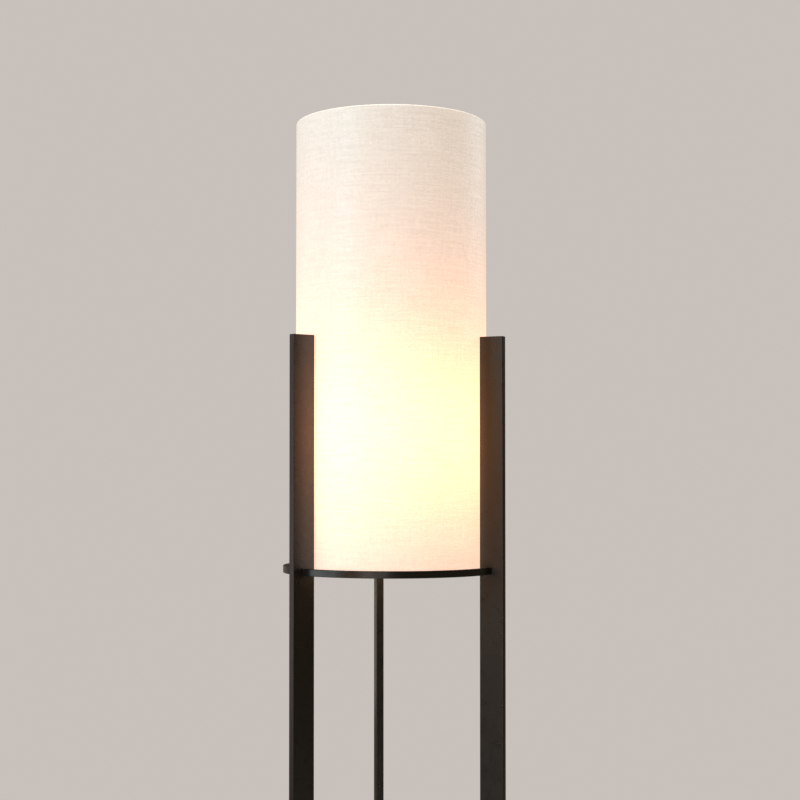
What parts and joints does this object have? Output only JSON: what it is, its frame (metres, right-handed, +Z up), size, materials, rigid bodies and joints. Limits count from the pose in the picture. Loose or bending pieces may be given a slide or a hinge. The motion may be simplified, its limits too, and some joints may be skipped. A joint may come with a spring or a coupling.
{
  "type": "floor lamp",
  "caption": "Column floor lamp: a tall cream cloth cylinder held between upright black boards by a welded ring, with a bulb and switch on a stem inside.",
  "frame": {"origin": "on the lamp's axis at floor level", "axes": "+Z up along the shade's axis, -Y to the front of the lamp, +Y to the rear board"},
  "size_m": [0.34, 0.3596, 1.5043],
  "materials": {
    "frame_black": "satin powder coat",
    "glide_nylon": "moulded nylon",
    "grommet_rubber": "moulded",
    "plated_steel": "zinc plated",
    "riser_black": "satin powder coat",
    "holder_plastic": "moulded, fine grain",
    "sleeve_card": "pressed card",
    "block_plastic": "moulded, brown",
    "contact_brass": "stamped",
    "knob_plastic": "moulded",
    "bulb_glass": "white frosted",
    "stem_glass": "clear",
    "bulb_metal": "rolled",
    "bulb_insulator": "black glass",
    "filament": "phosphor",
    "filament_wire": "drawn",
    "shade_linen": "plain weave with slubs, cream",
    "shade_liner": "translucent white sheet",
    "seam_tape": "pressure-sensitive tape, white",
    "shade_wire": "white enamel"
  },
  "bodies": {
    "frame": {"board_rear": "frame_black", "board_left": "frame_black", "board_right": "frame_black", "board_cap_rear": "frame_black", "board_cap_left": "frame_black", "board_cap_right": "frame_black", "foot_glide_rear": "glide_nylon", "foot_glide_left": "glide_nylon", "foot_glide_right": "glide_nylon", "cord_grommet": "grommet_rubber", "upper_ring_front": "frame_black", "upper_ring_right": "frame_black", "upper_ring_left": "frame_black", "lower_ring_front": "frame_black", "lower_ring_right": "frame_black", "lower_ring_left": "frame_black", "spoke_rear": "frame_black", "spoke_left": "frame_black", "spoke_right": "frame_black", "hub": "frame_black", "hub_cover": "frame_black", "hub_washer": "plated_steel", "hub_nut": "plated_steel", "threaded_pipe": "plated_steel", "riser_tube": "riser_black", "check_ring": "plated_steel", "holder_cap": "holder_plastic", "cap_grub_screw": "plated_steel", "holder_shell": "holder_plastic", "insulating_sleeve": "sleeve_card", "switch_block": "block_plastic", "screw_shell": "contact_brass", "centre_contact": "contact_brass", "terminal_screws": "contact_brass", "switch_contact": "contact_brass"},
    "switch": {"switch_shaft": "plated_steel", "switch_knob": "knob_plastic"},
    "bulb": {"bulb_glass": "bulb_glass", "bulb_base": "bulb_metal", "bulb_insulator": "bulb_insulator", "bulb_contact": "bulb_metal", "bulb_stem": "stem_glass", "bulb_filaments": "filament", "filament_frame": "filament_wire", "filament_leads": "filament_wire"},
    "shade": {"shade_cloth": "shade_linen", "shade_liner": "shade_liner", "shade_seam_tape": "seam_tape", "shade_bottom_wire": "shade_wire", "shade_top_wire": "shade_wire"}
  },
  "joints": [
    {"name": "shade_lift", "type": "slide", "parent": "frame", "child": "shade", "axis": [0, 0, 1], "range_m": [0, 0.36]},
    {"name": "bulb_turn", "type": "hinge", "parent": "frame", "child": "bulb", "pos_m": [0, 0, 0.95], "axis": [0, 0, 1], "range_deg": [0, 1080]},
    {"name": "switch_turn", "type": "hinge", "parent": "frame", "child": "switch", "pos_m": [0, -0.02, 0.919], "axis": [0, -1, 0], "continuous": true}
  ]
}
